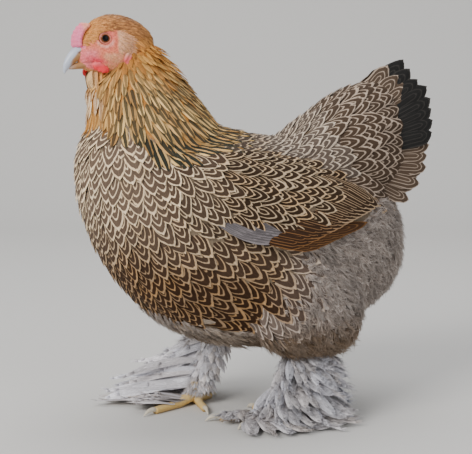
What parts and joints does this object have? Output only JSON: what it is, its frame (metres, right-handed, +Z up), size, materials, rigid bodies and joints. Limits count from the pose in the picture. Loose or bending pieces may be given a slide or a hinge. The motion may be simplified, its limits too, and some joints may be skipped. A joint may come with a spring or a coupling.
{
  "type": "standing brahma hen model",
  "caption": "Life-size museum model of a standing feather-footed hen with pencilled gold and brown plumage, a low pea comb and an upright tail.",
  "frame": {"origin": "on the floor under the middle of the model's box", "axes": "-X the way the hen faces, -Y its left side, +Z up"},
  "size_m": [0.4376, 0.2518, 0.454],
  "materials": {
    "head": "pale orange-brown head feathers and pink facial skin",
    "beak": "smooth horn, pale at the tip",
    "comb": "pebbled soft skin",
    "wattle": "wrinkled soft red skin",
    "eye": "wet and clear",
    "hackle": "pointed golden feathers with dark middles",
    "breast": "soft rounded feathers, buff with dark pencilling",
    "wing": "firm overlapping feathers, brown with buff pencilling",
    "tail": "firm overlapping feathers, pencilled, black at the rim",
    "fluff": "loose grey-brown fluff",
    "foot_feather": "soft grey feathers",
    "foot": "yellow scaled skin with grey feathers",
    "claw": "smooth pale horn"
  },
  "bodies": {
    "root": {"head": "head", "beak_upper": "beak", "beak_lower": "beak", "comb": "comb", "wattle_left": "wattle", "wattle_right": "wattle", "earlobe_left": "wattle", "earlobe_right": "wattle", "eye_left": "eye", "eye_right": "eye", "neck": "hackle", "torso": "breast", "wing_left": "wing", "wing_right": "wing", "tail": "tail", "thigh_left": "fluff", "thigh_right": "fluff", "shank_left": "foot_feather", "shank_right": "foot_feather", "foot_left": "foot", "foot_right": "foot", "claw_left_middle": "claw", "claw_left_inner": "claw", "claw_left_outer": "claw", "claw_left_hind": "claw", "claw_right_middle": "claw", "claw_right_inner": "claw", "claw_right_outer": "claw", "claw_right_hind": "claw"}
  },
  "joints": []
}
